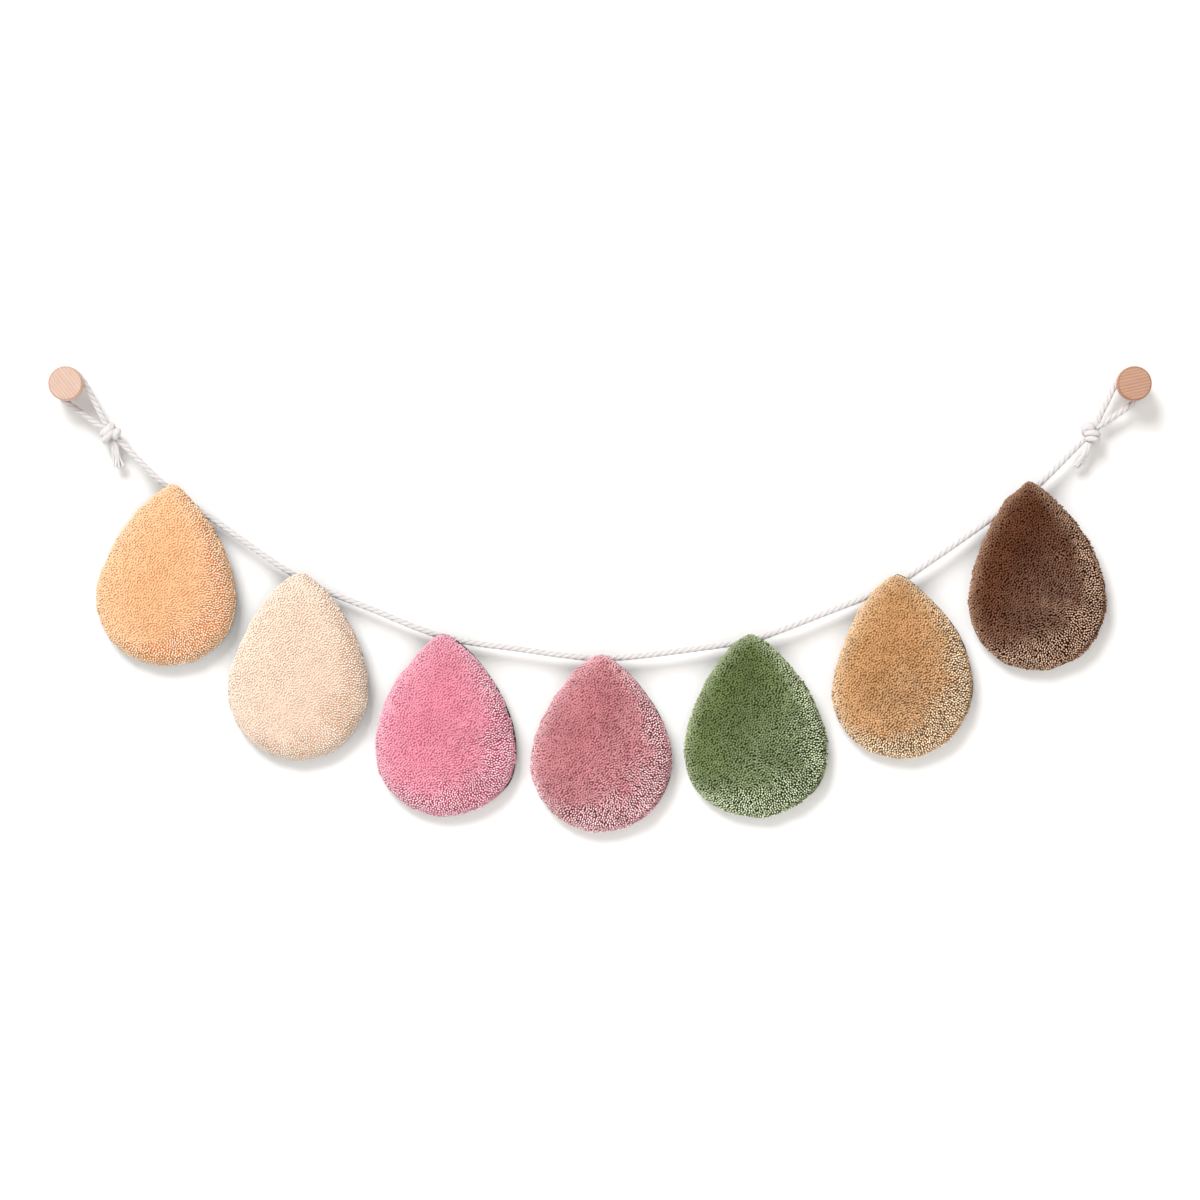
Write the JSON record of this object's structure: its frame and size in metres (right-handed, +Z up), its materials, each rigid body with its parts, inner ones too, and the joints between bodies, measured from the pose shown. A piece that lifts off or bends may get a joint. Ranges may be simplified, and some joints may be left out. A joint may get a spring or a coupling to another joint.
{
  "type": "raindrop garland on wall pegs",
  "caption": "Garland of tufted raindrops on a twisted cotton rope, which hangs in a shallow curve from loops round two short turned wooden wall pegs.",
  "frame": {"origin": "centre of the left peg's back face, where it meets the wall", "axes": "+X along the wall to the right peg, +Y into the wall, +Z up; the front faces -Y"},
  "size_m": [0.9578, 0.0246, 0.4057],
  "materials": {
    "pile_apricot": "dense short cut pile, matt",
    "pile_cream": "dense short cut pile, matt",
    "pile_pink": "dense short cut pile, matt",
    "pile_rose": "dense short cut pile, matt",
    "pile_green": "dense short cut pile, matt",
    "pile_caramel": "dense short cut pile, matt",
    "pile_brown": "dense short cut pile, matt",
    "backing_cloth": "plain weave, matt",
    "cotton_rope": "three-strand twisted cotton, matt",
    "pale_beech": "sanded, bare",
    "brown_beech": "sanded, bare"
  },
  "bodies": {
    "root": {"peg_left": "pale_beech", "peg_right": "brown_beech", "rope_run": "cotton_rope", "rope_loop_left": "cotton_rope", "rope_loop_right": "cotton_rope", "rope_tail_left": "cotton_rope", "rope_tail_right": "cotton_rope", "knot_left": "cotton_rope", "knot_right": "cotton_rope", "pile_apricot": "pile_apricot", "backing_apricot": "backing_cloth", "pile_cream": "pile_cream", "backing_cream": "backing_cloth", "pile_pink": "pile_pink", "backing_pink": "backing_cloth", "pile_rose": "pile_rose", "backing_rose": "backing_cloth", "pile_green": "pile_green", "backing_green": "backing_cloth", "pile_caramel": "pile_caramel", "backing_caramel": "backing_cloth", "pile_brown": "pile_brown", "backing_brown": "backing_cloth"}
  },
  "joints": []
}
